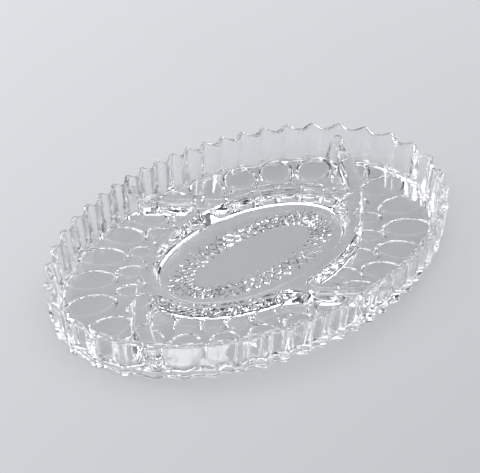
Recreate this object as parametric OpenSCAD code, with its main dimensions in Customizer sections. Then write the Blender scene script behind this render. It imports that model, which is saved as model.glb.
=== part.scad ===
// Oval relish tray of clear pressed glass: a fluted outer wall, a raised oval ring in the middle
// and four partitions between the ring and the wall, which make five compartments.
// The tray stands on a foot round its edge. +X runs along its length and +Z is up.
// The real tray is one pressing, so every piece here is one feature of it, and they meet face to face.

/* [Tray] */
// Length over the points of the rim
tray_length = 320; // [300:1:345]
// Width over the points of the rim
tray_width = 214; // [205:1:225]
// Height at the points of the rim
tray_height = 30; // [28:0.5:36]

/* [Outer wall] */
// Number of flutes round the tray
flute_count = 48; // [36:4:60]
// How far each rib stands out of the panels beside it
flute_depth = 3.2; // [2:0.1:3.6]
// Thickness of the wall at a rib
wall_thickness = 4.8; // [4:0.1:5.6]
// How far the rim leans out beyond the foot
wall_lean = 3; // [1:0.1:4]
// How far the inside of the wall leans in from the rim to the floor, beside the lean of the outside
wall_taper = 1.6; // [0.5:0.1:2.4]
// How much lower the rim is between two ribs
rim_dip = 2.2; // [1:0.1:3]
// Radius of the rounded edges of the rim
rim_round = 1.5; // [0.8:0.1:1.8]
// Radius of the corner between the wall and the floor
floor_corner = 2; // [1:0.1:2.6]

/* [Base] */
// Height of the foot, which is the room under the floor
foot_height = 2.5; // [2:0.1:3.2]
// Width of the foot from a rib inwards
foot_width = 9; // [8:0.1:10]
// Thickness of the floor
floor_thickness = 3.5; // [3:0.1:4.5]

/* [Centre ring] */
// Length of the ring over the outside of its top
ring_length = 177; // [168:1:182]
// Width of the ring over the outside of its top
ring_width = 112; // [108:1:116]
// Width of the flat top of the ring
ring_top_width = 8.8; // [8:0.1:10]
// Height of the ring and the partitions above the floor
partition_height = 10; // [8:0.5:12]
// How far the inside of the ring slopes in from its top to the floor
ring_inner_slope = 4; // [3:0.1:5]
// How far the outside of the ring slopes out from its top to the floor
ring_outer_slope = 1.5; // [1:0.1:2]
// Size of the eased edges on the ring and the partitions
edge_ease = 0.8; // [0.5:0.1:1]

/* [Partitions] */
// Width of the flat top of a partition
partition_top_width = 10; // [8:0.1:11]
// How far each side of a partition slopes out from its top to the floor
partition_slope = 1.4; // [1:0.1:2]
// How far a partition climbs where it meets the outer wall
partition_climb = 6.5; // [4:0.1:7.5]
// Length over which a partition climbs, square to the wall
climb_length = 14; // [10:0.5:16]
// Width of the crest to which a partition narrows as it climbs
crest_width = 2.6; // [1.5:0.1:4]
// Radius of the narrow corner between a partition and the ring
ring_corner = 5; // [4:0.1:6]
// Radius of the corners between a partition and the outer wall, at the floor
wall_corner = 7; // [5:0.1:9]

/* [Sunk ovals] */
// Number of ovals in each of the two rows under the floor
oval_count = 24; // [20:4:28]
// How deep the ovals are sunk in the underside
oval_depth = 1.4; // [0.5:0.1:2]
// Length of an oval of the outer row, towards the middle of the tray
outer_oval_length = 36; // [30:0.5:37]
// Width of an oval of the outer row
outer_oval_width = 22.5; // [18:0.5:23]
// Length of an oval of the inner row
inner_oval_length = 20; // [15:0.5:21]
// Width of an oval of the inner row
inner_oval_width = 14.5; // [11:0.5:15]
// Length over the middles of the outer row
outer_row_length = 254; // [250:1:256]
// Width over the middles of the outer row
outer_row_width = 156; // [152:1:158]
// Length over the middles of the inner row
inner_row_length = 194; // [192:1:198]
// Width over the middles of the inner row
inner_row_width = 122; // [120:1:126]

/* [Diamond band] */
// Number of points in each row of the band under the middle floor
diamond_count = 36; // [28:2:44]
// Number of staggered rows of points
diamond_rows = 3; // [2:1:4]
// Length of the band over its outer edge
band_length = 144; // [138:1:147]
// Width of the band over its outer edge
band_width = 68; // [64:1:72]
// Length of the band over its inner edge
band_inner_length = 100; // [90:1:110]
// Width of the band over its inner edge
band_inner_width = 32; // [26:1:38]
// How far the points stand down from the floor
diamond_height = 1.8; // [1:0.1:2]

/* [Hidden] */
// One sub-part's name draws that piece alone.
glass = [0.86, 0.92, 0.93, 0.55];

// Half sizes of the rim, and the levels of the base
rim_a = tray_length / 2;
rim_b = tray_width / 2;
base_top = foot_height + floor_thickness;
partition_top = base_top + partition_height;
ring_a = ring_length / 2;
ring_b = ring_width / 2;

// Steps of the angle in one flute, and the share of a flute that its rib takes
flute_steps = 8;
rib_power = 1.4;
wall_step = 360 / (flute_count * flute_steps);

// The angles from the middle at which the partitions leave the ring and meet the wall
side_ring_angle = 68.5;
side_wall_angle = 107.6;
end_ring_angle = -24;
end_wall_angle = 22.8;
// How much the partitions turn on their way to the wall: those at the sides are straight
side_turn = 0;
end_turn = 40;
quarter = 90;
half_turn = 180;
full_turn = 360;

// Steps along a floor's seam, along the plain stretches and the corners of a partition,
// round the ring, and round an oval
partition_steps = 14;
plain_steps = 6;
ring_corner_steps = 7;
wall_corner_steps = 20;
ring_steps = 120;
oval_sides = 24;
// Level of the seam under the wall, from the rim's points inwards
floor_edge_inset = wall_lean + wall_thickness + wall_taper + flute_depth + floor_corner + rim_round;
// How far the filling of a narrow corner runs into the ring, as a share of the gap
fill_share = 1.5;
// How far a cut runs past what it cuts
overrun = 1;

// A point of an oval with half sizes a and b, in the direction t from the middle
function oval_radius(a, b, t) = a * b / sqrt(pow(b * cos(t), 2) + pow(a * sin(t), 2));
function oval_point(a, b, t) = oval_radius(a, b, t) * [cos(t), sin(t)];
// The direction square to that oval there, pointing outwards
function oval_normal(a, b, t) =
    let (p = oval_point(a, b, t), n = [p.x / (a * a), p.y / (b * b)]) n / norm(n);
// A point that lies the distance d inside the oval
function inset_point(a, b, t, d) = oval_point(a, b, t) - d * oval_normal(a, b, t);
// 1 on a rib and 0 in the middle of a panel
function rib(t) = pow((1 + cos(flute_count * t)) / 2, rib_power);
function at_level(p, z) = [p.x, p.y, z];

// How far the outer and the inner face of the wall lie inside the rim's points
function outer_inset(t, z) = wall_lean * (1 - z / tray_height) + flute_depth * (1 - rib(t));
function inner_inset(t, z) =
    outer_inset(t, z) + wall_thickness + wall_taper * (1 - z / tray_height);
function wall_point(t, d, z) = at_level(inset_point(rim_a, rim_b, t, d), z);
function outer_face(t, z) = wall_point(t, outer_inset(t, z), z);
function inner_face(t, z) = wall_point(t, inner_inset(t, z), z);
function rim_level(t) = tray_height - rim_dip * (1 - rib(t));

// The inside of the wall, cut across at the angle t, from below the rim's edge down to the floor
function wall_inside(t) =
    let (corner = inner_inset(t, base_top))
    [
        inner_face(t, rim_level(t) - rim_round),
        inner_face(t, base_top + floor_corner),
        wall_point(t, corner + floor_corner * (1 - cos(quarter / 2)),
            base_top + floor_corner * (1 - sin(quarter / 2))),
        wall_point(t, corner + floor_corner, base_top)
    ];

// The outline of the wall, cut across at the angle t, from the foot over the rim to the floor
function wall_section(t) =
    let (top = rim_level(t), shoulder = top - rim_round,
         out = outer_inset(t, top), in = inner_inset(t, top))
    concat([
        outer_face(t, foot_height),
        outer_face(t, base_top),
        outer_face(t, shoulder),
        wall_point(t, out + rim_round * (1 - cos(quarter / 2)), top - rim_round * (1 - sin(quarter / 2))),
        wall_point(t, out + rim_round, top),
        wall_point(t, in - rim_round, top),
        wall_point(t, in - rim_round * (1 - cos(quarter / 2)), top - rim_round * (1 - sin(quarter / 2)))
    ], wall_inside(t), [
        wall_point(t, floor_edge_inset, base_top),
        wall_point(t, floor_edge_inset, foot_height)
    ]);

// The outline of the foot, cut across at the angle t
function foot_section(t) = [
    outer_face(t, 0),
    outer_face(t, foot_height),
    wall_point(t, wall_lean + foot_width, foot_height),
    wall_point(t, wall_lean + foot_width, 0)
];

// The outline of the centre ring, cut across at the angle t
function ring_point(t, d, z) = at_level(inset_point(ring_a, ring_b, t, d), z);
function ring_section(t) = [
    ring_point(t, -ring_outer_slope, base_top),
    ring_point(t, 0, partition_top - edge_ease),
    ring_point(t, edge_ease, partition_top),
    ring_point(t, ring_top_width - edge_ease, partition_top),
    ring_point(t, ring_top_width, partition_top - edge_ease),
    ring_point(t, ring_top_width + ring_inner_slope, base_top)
];

// A solid through a row of outlines that have equal counts of points.
// A closed one joins its last outline to its first, and another has two flat ends.
module skin(sections, closed) {
    rows = len(sections);
    count = len(sections[0]);
    last = closed ? rows : rows - 1;
    points = [for (s = sections, p = s) p];
    sides = [
        for (i = [0 : last - 1], j = [0 : count - 1])
            let (a = i * count + j, b = i * count + (j + 1) % count,
                 c = ((i + 1) % rows) * count + (j + 1) % count, d = ((i + 1) % rows) * count + j)
            each [[a, b, c], [a, c, d]]
    ];
    ends = closed ? [] : [
        [for (j = [count - 1 : -1 : 0]) j],
        [for (j = [0 : count - 1]) (rows - 1) * count + j]
    ];
    polyhedron(points = points, faces = concat(sides, ends), convexity = 6);
}

// The wall between two angles, both of which are whole steps of the wall
module wall_piece(from, to) {
    color(glass)
        skin([
            for (i = [round(from / wall_step) : round(to / wall_step)]) wall_section(i * wall_step)
        ], false);
}

// The wall's seams lie under the partitions, in the middle of the panel nearest to each
function nearest_panel(t) = (floor(t * flute_count / full_turn) + 1 / 2) * full_turn / flute_count;
end_seam = nearest_panel(end_wall_angle);
side_seam = nearest_panel(side_wall_angle);

module foot_ring() {
    color(glass)
        skin([for (i = [0 : flute_count * flute_steps - 1]) foot_section(i * wall_step)], true);
}
module back_wall() { wall_piece(end_seam, side_seam); }
module left_wall() { wall_piece(side_seam, end_seam + half_turn); }
module front_wall() { wall_piece(end_seam + half_turn, side_seam + half_turn); }
module right_wall() { wall_piece(side_seam + half_turn, end_seam + full_turn); }

module centre_ring() {
    color(glass)
        skin([for (i = [0 : ring_steps - 1]) ring_section(i * full_turn / ring_steps)], true);
}

// The middle line of a side partition is straight, from the ring to the wall
side_start = inset_point(ring_a, ring_b, side_ring_angle, ring_top_width / 2);
side_end = inset_point(rim_a, rim_b, side_wall_angle, wall_lean + wall_thickness);
// The middle line of an end partition is an arc that leaves the ring almost along it
end_start = inset_point(ring_a, ring_b, end_ring_angle, ring_top_width);
end_end = inset_point(rim_a, rim_b, end_wall_angle, wall_lean + wall_thickness);

// A point at the share s of an arc from p to q that turns left by the angle turn
function arc_point(p, q, turn, s) =
    turn == 0 ? p + s * (q - p) :
    let (chord = q - p, span = norm(chord), heading = atan2(chord.y, chord.x) - turn / 2,
         walked = turn * s, radius = span / (2 * sin(turn / 2)))
    p + radius * [
        sin(heading + walked) - sin(heading),
        cos(heading) - cos(heading + walked)
    ];
function arc_heading(p, q, turn, s) =
    let (chord = q - p) atan2(chord.y, chord.x) - turn / 2 + turn * s;

// How far a point lies outside the ring's outer top edge
function ring_gap(p) =
    let (reach = norm([p.x / ring_a, p.y / ring_b]),
         slope = norm([p.x / pow(ring_a, 2), p.y / pow(ring_b, 2)]) / reach)
    (reach - 1) / slope;

// How far the corner between a side and another face stands out of that side. It begins at the
// distance past back from here, has the radius r, and reaches the other face by the limit.
function corner_flare(r, past, limit) =
    past <= 0 ? 0 :
    past >= r ? limit :
    min(limit, r - sqrt(r * r - past * past));

// The same for a side that meets the outer wall at an angle, at the distance left before they meet
function wall_flare(r, angle, left) =
    let (tangent = r / tan(angle / 2)) corner_flare(r, tangent - left, tangent * sin(angle));

// How near a partition's middle line is to the outer wall, which it meets askew: from 0 at the
// foot of the climb to 1 at the wall
function nearness(left, skew) = pow(max(0, min(1, 1 - left * cos(skew) / climb_length)), 2);

// The outline of a partition at the point p of its middle line, where it heads in a direction.
// Its sides lie l to the left and r to the right, and its feet reach out further near the wall.
// There its top climbs in a hollow curve and narrows to a crest.
function partition_section(p, heading, left, skew, l, r, l_foot, r_foot) =
    let (side = [-sin(heading), cos(heading)], crest = crest_width / 2,
         near = nearness(left, skew), brink = partition_top - edge_ease,
         top = partition_top + partition_climb * near,
         l_top = (l - edge_ease) * (1 - near) + crest * near,
         r_top = (r - edge_ease) * (1 - near) + crest * near)
    [
        at_level(p - (r + partition_slope + r_foot) * side, base_top),
        at_level(p - r * side, brink),
        at_level(p - r_top * side, top),
        at_level(p + l_top * side, top),
        at_level(p + l * side, brink),
        at_level(p + (l + partition_slope + l_foot) * side, base_top)
    ];

// The middle lines bend so little that a share of the way is also a share of the span.
// The body runs on past the wall's face, to be trimmed there.
module partition_body(p, q, turn, wall_angle) {
    span = norm(q - p);
    half = partition_top_width / 2;
    last = arc_heading(p, q, turn, 1);
    square = oval_normal(rim_a, rim_b, wall_angle);
    skew = last - atan2(square.y, square.x);
    function middle(s) =
        s <= 1 ? arc_point(p, q, turn, s) : q + (s - 1) * span * [cos(last), sin(last)];
    function heading(s) = arc_heading(p, q, turn, min(s, 1));
    function left_of(s, d) = middle(s) + d * [-sin(heading(s)), cos(heading(s))];

    // The corner at the ring ends where a circle would touch both the ring and the left side
    ring_end = lookup(ring_corner,
        [for (i = [0 : ring_steps]) let (s = i / ring_steps)
            [ring_gap(left_of(s, half + ring_corner)), s]]);
    function ring_flare(s) =
        let (gap = max(0, ring_gap(left_of(s, half)) + ring_outer_slope + partition_slope))
        corner_flare(ring_corner, (ring_end - s) * span, gap * fill_share);

    ring_side = ring_end - ring_corner / span;
    wall_side = 1 - 3 * wall_corner / span;
    finish = 1 + partition_top_width / span;
    stations = concat(
        [for (i = [0 : plain_steps - 1]) ring_side * i / plain_steps],
        [for (i = [0 : ring_corner_steps]) ring_side + (ring_end - ring_side) * i / ring_corner_steps],
        [for (i = [1 : plain_steps - 1]) ring_end + (wall_side - ring_end) * i / plain_steps],
        [for (i = [0 : wall_corner_steps]) wall_side + (finish - wall_side) * i / wall_corner_steps]
    );
    skin([
        for (s = stations)
            let (left = (1 - s) * span,
                 l_foot = wall_flare(wall_corner, quarter + skew, left + half * tan(skew)),
                 r_foot = wall_flare(wall_corner, quarter - skew, left - half * tan(skew)))
            partition_section(middle(s), heading(s), left, skew, half + ring_flare(s), half, l_foot, r_foot)
    ], false);
}

// The wall near an angle, as a block that trims a partition's end to the wall's inner face
module wall_block(angle) {
    reach = 2 * flute_steps;
    middle = round(angle / wall_step);
    beyond = -2 * partition_top_width;
    skin([
        for (i = [middle - reach : middle + reach])
            let (t = i * wall_step, inside = wall_inside(t), foot = inside[len(inside) - 1])
            concat([
                wall_point(t, beyond, base_top - overrun),
                wall_point(t, beyond, inside[0].z)
            ], inside, [at_level(foot, base_top - overrun)])
    ], false);
}

// The ring near an angle, as a block that trims a partition's start to the ring's outer face
module ring_block(angle) {
    reach = ring_steps / 6;
    middle = round(angle * ring_steps / full_turn);
    above = partition_top + partition_climb;
    below = base_top - overrun;
    within = 2 * ring_top_width + ring_inner_slope;
    skin([
        for (i = [middle - reach : middle + reach])
            let (t = i * full_turn / ring_steps)
            [
                ring_point(t, -ring_outer_slope, below),
                ring_point(t, -ring_outer_slope, base_top),
                ring_point(t, 0, partition_top - edge_ease),
                ring_point(t, edge_ease, partition_top),
                ring_point(t, edge_ease, above),
                ring_point(t, within, above),
                ring_point(t, within, below)
            ]
    ], false);
}

module trimmed_partition(p, q, turn, ring_angle, wall_angle) {
    color(glass)
        difference() {
            partition_body(p, q, turn, wall_angle);
            wall_block(wall_angle);
            ring_block(ring_angle);
        }
}
module left_back_partition() {
    trimmed_partition(side_start, side_end, side_turn, side_ring_angle, side_wall_angle);
}
module right_back_partition() {
    trimmed_partition(end_start, end_end, end_turn, end_ring_angle, end_wall_angle);
}
module right_front_partition() { rotate([0, 0, half_turn]) left_back_partition(); }
module left_front_partition() { rotate([0, 0, half_turn]) right_back_partition(); }

// The length along an oval from the +X end to the parameter u, and the parameter at a share of the way
function oval_speed(a, b, u) = sqrt(pow(a * sin(u), 2) + pow(b * cos(u), 2));
function walked(a, b, steps) = [
    for (i = 0, sum = 0; i <= steps;
         sum = sum + oval_speed(a, b, (i + 1 / 2) * full_turn / steps), i = i + 1) sum
];
walk_steps = 720;
outer_walk = walked(outer_row_length / 2, outer_row_width / 2, walk_steps);
function direction_at(share) =
    let (goal = share * outer_walk[walk_steps], u = lookup(goal,
        [for (i = [0 : walk_steps]) [outer_walk[i], i * full_turn / walk_steps]]))
    atan2(outer_row_width * sin(u), outer_row_length * cos(u));

// One oval, lying along the line from the middle of the tray
module oval_cut(p, angle, length, width) {
    translate([p.x, p.y, foot_height - overrun])
        linear_extrude(oval_depth + overrun)
            rotate(angle)
                polygon([
                    for (i = [0 : oval_sides - 1]) let (t = i * full_turn / oval_sides)
                        [length / 2 * cos(t), width / 2 * sin(t)]
                ]);
}
module sunk_ovals() {
    for (i = [0 : oval_count - 1]) {
        outer_angle = direction_at(i / oval_count);
        oval_cut(oval_point(outer_row_length / 2, outer_row_width / 2, outer_angle), outer_angle,
            outer_oval_length, outer_oval_width);
        inner_angle = direction_at((i + 1 / 2) / oval_count);
        oval_cut(oval_point(inner_row_length / 2, inner_row_width / 2, inner_angle), inner_angle,
            inner_oval_length, inner_oval_width);
    }
}

// The floors. Their seams lie under the middle of the ring and of the partitions.
seam_inset = ring_top_width / 2;
module seam_oval() {
    polygon([
        for (i = [0 : ring_steps - 1])
            inset_point(ring_a, ring_b, i * full_turn / ring_steps, seam_inset)
    ]);
}
module floor_oval() {
    polygon([for (i = [0 : flute_count * flute_steps - 1])
        inset_point(rim_a, rim_b, i * wall_step, floor_edge_inset)]);
}
// A seam's points from the middle outwards, in the line of a partition
function seam_points(p, q, turn) = [
    for (s = [0 : 1 / partition_steps : 1]) arc_point(p, q, turn, s)
];
side_seam_points = seam_points(side_start, side_end, side_turn);
end_seam_points = seam_points(end_start, end_end, end_turn);
function turned(points) = [for (p = points) -p];
function reversed(points) = [for (i = [len(points) - 1 : -1 : 0]) points[i]];
// The region between two seams, closed far outside the tray
module sector(first, second) {
    far = tray_length;
    a = first[len(first) - 1];
    b = second[len(second) - 1];
    polygon(concat([[0, 0]], first, [far * a / norm(a), far * (a + b) / norm(a + b), far * b / norm(b)],
        reversed(second)));
}
module floor_plate() {
    translate([0, 0, foot_height]) linear_extrude(floor_thickness) children();
}
module outer_floor(first, second) {
    color(glass)
        difference() {
            floor_plate() difference() {
                intersection() {
                    floor_oval();
                    sector(first, second);
                }
                seam_oval();
            }
            sunk_ovals();
        }
}
module centre_floor() { color(glass) floor_plate() seam_oval(); }
module back_floor() { outer_floor(end_seam_points, side_seam_points); }
module left_floor() { outer_floor(side_seam_points, turned(end_seam_points)); }
module front_floor() { outer_floor(turned(end_seam_points), turned(side_seam_points)); }
module right_floor() { outer_floor(turned(side_seam_points), end_seam_points); }

// The band of diamond points under the middle floor: three staggered rows, which meet in low corners
band_levels = diamond_rows + 1;
function band_point(i, j, z) =
    let (u = i * half_turn / diamond_count, s = j / band_levels,
         a = band_length * (1 - s) + band_inner_length * s,
         b = band_width * (1 - s) + band_inner_width * s)
    [a / 2 * cos(u), b / 2 * sin(u), z];
function band_low(i, j) = j == 0 || j == band_levels || (i + j) % 2 == 0;
module diamond_band() {
    columns = 2 * diamond_count;
    lip = edge_ease / 2;
    rows = band_levels + 1;
    relief = [
        for (i = [0 : columns - 1], j = [0 : band_levels])
            band_point(i, j, foot_height - (band_low(i, j) ? lip : diamond_height))
    ];
    top = [for (i = [0 : columns - 1], j = [0, band_levels]) band_point(i, j, foot_height)];
    base = len(relief);
    function at(i, j) = (i % columns) * rows + j;
    function edge(i, k) = base + (i % columns) * 2 + k;
    facets = [
        for (i = [0 : columns - 1], j = [0 : band_levels - 1])
            each (band_low(i, j)
                ? [[at(i, j), at(i, j + 1), at(i + 1, j + 1)], [at(i, j), at(i + 1, j + 1), at(i + 1, j)]]
                : [[at(i, j), at(i, j + 1), at(i + 1, j)], [at(i, j + 1), at(i + 1, j + 1), at(i + 1, j)]])
    ];
    outer = [for (i = [0 : columns - 1])
        each [[at(i, 0), at(i + 1, 0), edge(i + 1, 0)], [at(i, 0), edge(i + 1, 0), edge(i, 0)]]];
    inner = [for (i = [0 : columns - 1])
        each [[at(i + 1, band_levels), at(i, band_levels), edge(i, 1)],
            [at(i + 1, band_levels), edge(i, 1), edge(i + 1, 1)]]];
    lid = [for (i = [0 : columns - 1])
        each [[edge(i, 0), edge(i + 1, 0), edge(i + 1, 1)], [edge(i, 0), edge(i + 1, 1), edge(i, 1)]]];
    color(glass)
        polyhedron(points = concat(relief, top), convexity = 6,
            faces = [for (f = concat(facets, outer, inner, lid)) reversed(f)]);
}

foot_ring();
left_wall();
back_wall();
right_wall();
front_wall();
centre_floor();
left_floor();
back_floor();
right_floor();
front_floor();
centre_ring();
left_back_partition();
right_front_partition();
right_back_partition();
left_front_partition();
diamond_band();
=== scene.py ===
"""Builds the visual model of an oval pressed-glass relish tray on a pale studio floor.

The tray is modelled as the real one is: a single pressing. Each feature is swept or cut in its own
class, the features are fused into one watertight body, and that body is parted again along seams
inside the glass, so that every named sub-part has its own object. Lengths are in metres.
"""

import logging
import math
from dataclasses import dataclass, field, replace
from enum import Enum
from typing import Iterable, Sequence

import bmesh
import bpy
import numpy as np
from mathutils import Matrix, Vector

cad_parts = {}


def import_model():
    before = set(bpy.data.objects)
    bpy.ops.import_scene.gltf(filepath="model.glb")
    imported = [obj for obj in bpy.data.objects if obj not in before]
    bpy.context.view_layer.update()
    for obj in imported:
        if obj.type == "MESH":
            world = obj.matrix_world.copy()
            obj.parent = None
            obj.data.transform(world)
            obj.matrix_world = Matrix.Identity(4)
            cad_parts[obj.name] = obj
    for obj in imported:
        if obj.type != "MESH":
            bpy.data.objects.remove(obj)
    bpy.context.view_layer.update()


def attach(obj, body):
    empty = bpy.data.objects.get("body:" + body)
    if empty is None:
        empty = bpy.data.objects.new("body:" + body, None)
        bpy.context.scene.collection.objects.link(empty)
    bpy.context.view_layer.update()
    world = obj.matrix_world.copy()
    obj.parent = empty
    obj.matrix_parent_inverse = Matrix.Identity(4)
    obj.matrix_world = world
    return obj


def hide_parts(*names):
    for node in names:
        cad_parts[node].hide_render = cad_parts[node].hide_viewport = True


LOG = logging.getLogger("relish_tray")
MM = 0.001
FULL_TURN = 2 * math.pi

# The radii of the four corners beside a partition, as Partition explains them.
Corners = tuple[tuple[float, float], tuple[float, float]]

# How far one cutting block runs past another, so that no two faces coincide.
OVERRUN = 1.0 * MM

# How many points a rounded corner has, the angle in radians under which a corner or a line counts
# as straight, and the share of the radius over which the points of such a corner are spread.
BEND_POINTS = 7
NEARLY_STRAIGHT = 0.01
STRAIGHT_SHARE = 0.05

# Stands in for a zero in a division, in square metres.
TINY = 1e-18


class Fuse(Enum):
    """How one solid is combined with another."""

    UNION = "UNION"
    DIFFERENCE = "DIFFERENCE"
    INTERSECT = "INTERSECT"


class Face(Enum):
    """The material slots that every solid of the tray has, with their numbers."""

    GLASS = 0
    SEAM = 1


# The tray's materials, which main makes before the first solid.
FINISHES: dict[Face, bpy.types.Material] = {}


# Plane geometry


def all_round(count: int) -> np.ndarray:
    """Gives equal steps of angle round a full turn."""
    return np.arange(count) * FULL_TURN / count


def within_half_turn(angle: float) -> float:
    """Gives the same direction as an angle between minus and plus half a turn."""
    return (angle + math.pi) % FULL_TURN - math.pi


def at_level(plan: np.ndarray, level: float) -> np.ndarray:
    """Gives points of the plan a level."""
    return np.c_[plan, np.full(len(plan), level)]


def between_rows(rows: np.ndarray, at: float) -> np.ndarray:
    """Gives the row at a fractional index of a table with two columns."""
    index = np.arange(len(rows))
    return np.array([np.interp(at, index, rows[:, 0]), np.interp(at, index, rows[:, 1])])


@dataclass(frozen=True)
class Oval:
    """An ellipse about the origin, walked by the angle from its middle."""

    half_length: float
    half_width: float

    def point(self, angle: np.ndarray) -> np.ndarray:
        """Finds the points of the ellipse in given directions.

        Args:
            angle: Directions from the middle.

        Returns:
            The points in the plane.
        """
        a, b = self.half_length, self.half_width
        c, s = np.cos(angle), np.sin(angle)
        radius = a * b / np.hypot(b * c, a * s)
        return np.stack([radius * c, radius * s], axis=-1)

    def at(self, turn: np.ndarray) -> np.ndarray:
        """Gives the points at the turns of the circle that the ellipse is stretched from."""
        return np.stack([self.half_length * np.cos(turn), self.half_width * np.sin(turn)], axis=-1)

    def normal(self, angle: np.ndarray) -> np.ndarray:
        """Finds the outward unit normals of the ellipse.

        Args:
            angle: Directions from the middle.

        Returns:
            The normals in the plane.
        """
        p = self.point(angle)
        n = p / np.array([self.half_length**2, self.half_width**2])
        return n / np.linalg.norm(n, axis=-1, keepdims=True)

    def inset(self, angle: np.ndarray, distance: np.ndarray) -> np.ndarray:
        """Moves inwards from the ellipse.

        Args:
            angle: Directions from the middle.
            distance: How far inside the ellipse the points lie, along its normal.

        Returns:
            The points in the plane.
        """
        return self.point(angle) - np.expand_dims(distance, -1) * self.normal(angle)

    def line_within(self, angles: np.ndarray, distance: float) -> np.ndarray:
        """Gives the points that lie one distance inside the ellipse at all the angles."""
        return self.inset(angles, np.full(len(angles), distance))

    def across(self, angle: float, section: np.ndarray) -> np.ndarray:
        """Stands a section across the ellipse.

        Args:
            angle: The direction from the middle.
            section: Rows of inset and level.

        Returns:
            The section's points in space.
        """
        plan = self.inset(np.full(len(section), angle), section[:, 0])
        return np.c_[plan, section[:, 1]]

    def depth(self, point: np.ndarray) -> np.ndarray:
        """Tells roughly how far inside the ellipse points lie.

        Args:
            point: Points in the plane.

        Returns:
            The distances, negative outside.
        """
        scale = np.array([self.half_length, self.half_width])
        reach = np.linalg.norm(point / scale, axis=-1)
        slope = np.linalg.norm(point / scale**2, axis=-1) / reach
        return (1 - reach) / slope


@dataclass(frozen=True)
class Rail:
    """A smooth curve in the plane with the room that it bounds on its left."""

    points: np.ndarray

    def left(self) -> np.ndarray:
        """Finds the unit directions to its left.

        Returns:
            One direction for each point.
        """
        along = np.gradient(self.points, axis=0)
        along /= np.linalg.norm(along, axis=1, keepdims=True)
        return np.stack([-along[:, 1], along[:, 0]], axis=-1)

    def moved(self, distance: float) -> np.ndarray:
        """Moves the curve to its left."""
        return self.points + distance * self.left()

    def place(self, at: float, distance: float = 0.0) -> np.ndarray:
        """Finds a point of the curve.

        Args:
            at: The fractional index of the point.
            distance: How far to the left the curve is moved first.

        Returns:
            The point in the plane.
        """
        return between_rows(self.moved(distance), at)


def meeting(first: np.ndarray, second: np.ndarray) -> tuple[float, float]:
    """Finds where two open curves cross.

    Args:
        first: The points of one curve.
        second: The points of the other.

    Returns:
        The fractional indices of the crossing along both, the earliest along the second.

    Raises:
        ValueError: The curves don't cross.
    """
    a, b = first[:-1, None], first[1:, None]
    c, d = second[None, :-1], second[None, 1:]
    r, s, q = b - a, d - c, c - a
    cross = r[..., 0] * s[..., 1] - r[..., 1] * s[..., 0]
    cross = np.where(np.abs(cross) < TINY, TINY, cross)
    t = (q[..., 0] * s[..., 1] - q[..., 1] * s[..., 0]) / cross
    u = (q[..., 0] * r[..., 1] - q[..., 1] * r[..., 0]) / cross
    hits = np.argwhere((t >= 0) & (t < 1) & (u >= 0) & (u < 1))
    if not len(hits):
        raise ValueError("two sides of a compartment don't meet")
    i, j = min(hits.tolist(), key=lambda hit: hit[1])
    return i + float(t[i, j]), j + float(u[i, j])


def rounded_path(corners: np.ndarray, radii: Sequence[float], steps: int = BEND_POINTS) -> np.ndarray:
    """Rounds the corners of an open path in the plane.

    Args:
        corners: The corner points, one a row.
        radii: The radius at each corner; the first and last are ignored.
        steps: How many points replace each rounded corner.

    Returns:
        The points of the rounded path.
    """
    out: list[np.ndarray] = [corners[0]]
    for i in range(1, len(corners) - 1):
        here, radius = corners[i], radii[i]
        if radius <= 0:
            out.append(here)
            continue
        back = corners[i - 1] - here
        on = corners[i + 1] - here
        back /= np.linalg.norm(back)
        on /= np.linalg.norm(on)
        half = math.acos(float(np.clip(back @ on, -1, 1))) / 2
        if half > math.pi / 2 - NEARLY_STRAIGHT:
            spread = on * radius * STRAIGHT_SHARE
            out.extend(here + spread * (2 * k / (steps - 1) - 1) for k in range(steps))
            continue
        reach = radius / math.tan(half)
        middle = back + on
        centre = here + middle / np.linalg.norm(middle) * radius / math.sin(half)
        start, end = here + back * reach - centre, here + on * reach - centre
        first = math.atan2(start[1], start[0])
        turn = within_half_turn(math.atan2(end[1], end[0]) - first)
        for k in range(steps):
            angle = first + turn * k / (steps - 1)
            out.append(centre + radius * np.array([math.cos(angle), math.sin(angle)]))
    out.append(corners[-1])
    return np.array(out)


# Solids


def new_solid(
    name: str, vertices: np.ndarray, faces: Iterable[Sequence[int]], face: Face
) -> bpy.types.Object:
    """Makes a mesh object with the tray's two slots and turns its faces outwards.

    Args:
        name: The object's name.
        vertices: Points, one a row.
        faces: Lists of point numbers.
        face: The slot that all the faces take.

    Returns:
        The linked object.
    """
    mesh = bpy.data.meshes.new(name)
    mesh.from_pydata(vertices.tolist(), [], [list(map(int, f)) for f in faces])
    bm = bmesh.new()
    bm.from_mesh(mesh)
    if bm.calc_volume(signed=True) < 0:
        bmesh.ops.reverse_faces(bm, faces=bm.faces)
    bm.to_mesh(mesh)
    bm.free()
    obj = bpy.data.objects.new(name, mesh)
    bpy.context.scene.collection.objects.link(obj)
    for slot in Face:
        mesh.materials.append(FINISHES[slot])
    mesh.polygons.foreach_set("material_index", [face.value] * len(mesh.polygons))
    return obj


def skin(count: int, size: int, closed: bool) -> list[list[int]]:
    """Lists the faces of a row of outlines that have equal counts of points.

    Args:
        count: How many outlines there are.
        size: How many points each of them has.
        closed: True joins the last outline to the first, False caps both ends.

    Returns:
        The faces as lists of point numbers.
    """
    faces: list[list[int]] = []
    for i in range(count if closed else count - 1):
        j = (i + 1) % count
        for k in range(size):
            m = (k + 1) % size
            faces.append([i * size + k, i * size + m, j * size + m, j * size + k])
    if not closed:
        faces.append(list(range(size - 1, -1, -1)))
        faces.append([(count - 1) * size + k for k in range(size)])
    return faces


def swept(name: str, rows: np.ndarray, closed: bool, face: Face = Face.GLASS) -> bpy.types.Object:
    """Skins a row of outlines, given as outlines by points by three."""
    return new_solid(name, rows.reshape(-1, 3), skin(*rows.shape[:2], closed), face)


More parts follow.
